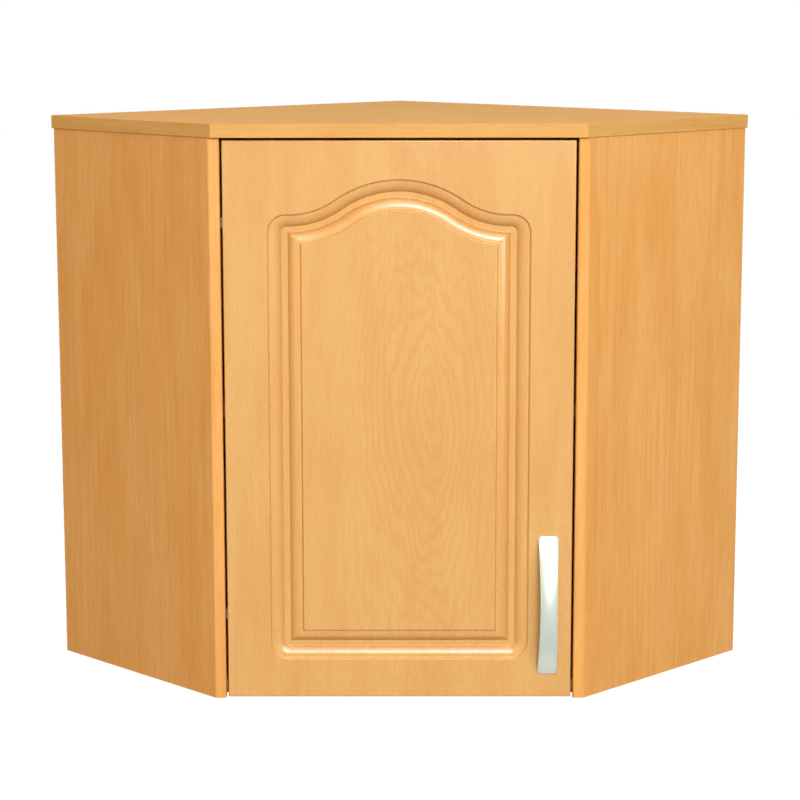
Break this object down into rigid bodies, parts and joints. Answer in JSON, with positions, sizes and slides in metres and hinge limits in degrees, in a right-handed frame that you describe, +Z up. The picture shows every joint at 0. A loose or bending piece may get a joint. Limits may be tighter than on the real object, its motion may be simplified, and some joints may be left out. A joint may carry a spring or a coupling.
{
  "type": "corner wall cabinet",
  "caption": "Wall-hung corner cupboard with a diagonal front, one door with a routed arched panel, a bow handle, an adjustable shelf and hanging brackets.",
  "frame": {"origin": "on the underside, midway between the rear edges of the two side panels' outer faces, where the line between the far ends of the top board meets the cabinet's middle plane", "axes": "+Z up, -Y out of the door towards the room, +X to the right of someone facing the door; the room's corner is at +Y"},
  "size_m": [0.848, 0.6601, 0.673],
  "materials": {
    "worktop_board": "satin wood-pattern laminate on board",
    "edge_band": "satin wood-pattern edge band",
    "carcass_board": "satin wood-pattern laminate on board",
    "door_foil": "satin wood-pattern foil over a routed board",
    "back_board": "thin hardboard, smooth side inwards",
    "dowel_wood": "plain beech",
    "handle_metal": "pale satin silver",
    "bumper": "clear soft plastic",
    "hanger_plastic": "white moulded plastic",
    "zinc": "die-cast zinc",
    "plated_steel": "bright zinc-plated steel"
  },
  "bodies": {
    "carcass": {"back_nails": "plated_steel", "bottom_board": "carcass_board", "bottom_edge_band": "edge_band", "cam_bolts": "plated_steel", "cams": "zinc", "corner_post": "carcass_board", "dowels": "dowel_wood", "left_back_panel": "back_board", "left_hanger_adjusters": "plated_steel", "left_hanger_housing": "hanger_plastic", "left_hanger_screws": "plated_steel", "left_side_panel": "carcass_board", "lower_hinge_arm": "plated_steel", "lower_hinge_arm_screws": "plated_steel", "lower_hinge_mounting_plate": "plated_steel", "lower_hinge_plate_screws": "plated_steel", "right_back_panel": "back_board", "right_hanger_adjusters": "plated_steel", "right_hanger_housing": "hanger_plastic", "right_hanger_screws": "plated_steel", "right_side_panel": "carcass_board", "shelf": "carcass_board", "shelf_edge_band": "edge_band", "shelf_pins": "plated_steel", "top_board": "worktop_board", "top_edge_band": "edge_band", "upper_hinge_arm": "plated_steel", "upper_hinge_arm_screws": "plated_steel", "upper_hinge_mounting_plate": "plated_steel", "upper_hinge_plate_screws": "plated_steel"},
    "door": {"door_bumpers": "bumper", "door_leaf": "door_foil", "handle": "handle_metal", "handle_screws": "plated_steel", "lower_hinge_cup": "plated_steel", "lower_hinge_cup_screws": "plated_steel", "lower_hinge_pin": "plated_steel", "lower_hinge_spring": "plated_steel", "upper_hinge_cup": "plated_steel", "upper_hinge_cup_screws": "plated_steel", "upper_hinge_pin": "plated_steel", "upper_hinge_spring": "plated_steel"},
    "right_hook": {"right_hanger_hook": "plated_steel", "right_wall_plate": "plated_steel"},
    "left_hook": {"left_hanger_hook": "plated_steel", "left_wall_plate": "plated_steel"}
  },
  "joints": [
    {"name": "door_swing", "type": "hinge", "parent": "carcass", "child": "door", "pos_m": [-0.19017, -0.19737, 0.32775], "axis": [0, 0, -1], "range_deg": [0, 95]},
    {"name": "right_hook_height", "type": "slide", "parent": "carcass", "child": "right_hook", "axis": [0, 0, 1], "range_m": [-0.006, 0.006]},
    {"name": "left_hook_height", "type": "slide", "parent": "carcass", "child": "left_hook", "axis": [0, 0, 1], "range_m": [-0.006, 0.006]}
  ]
}
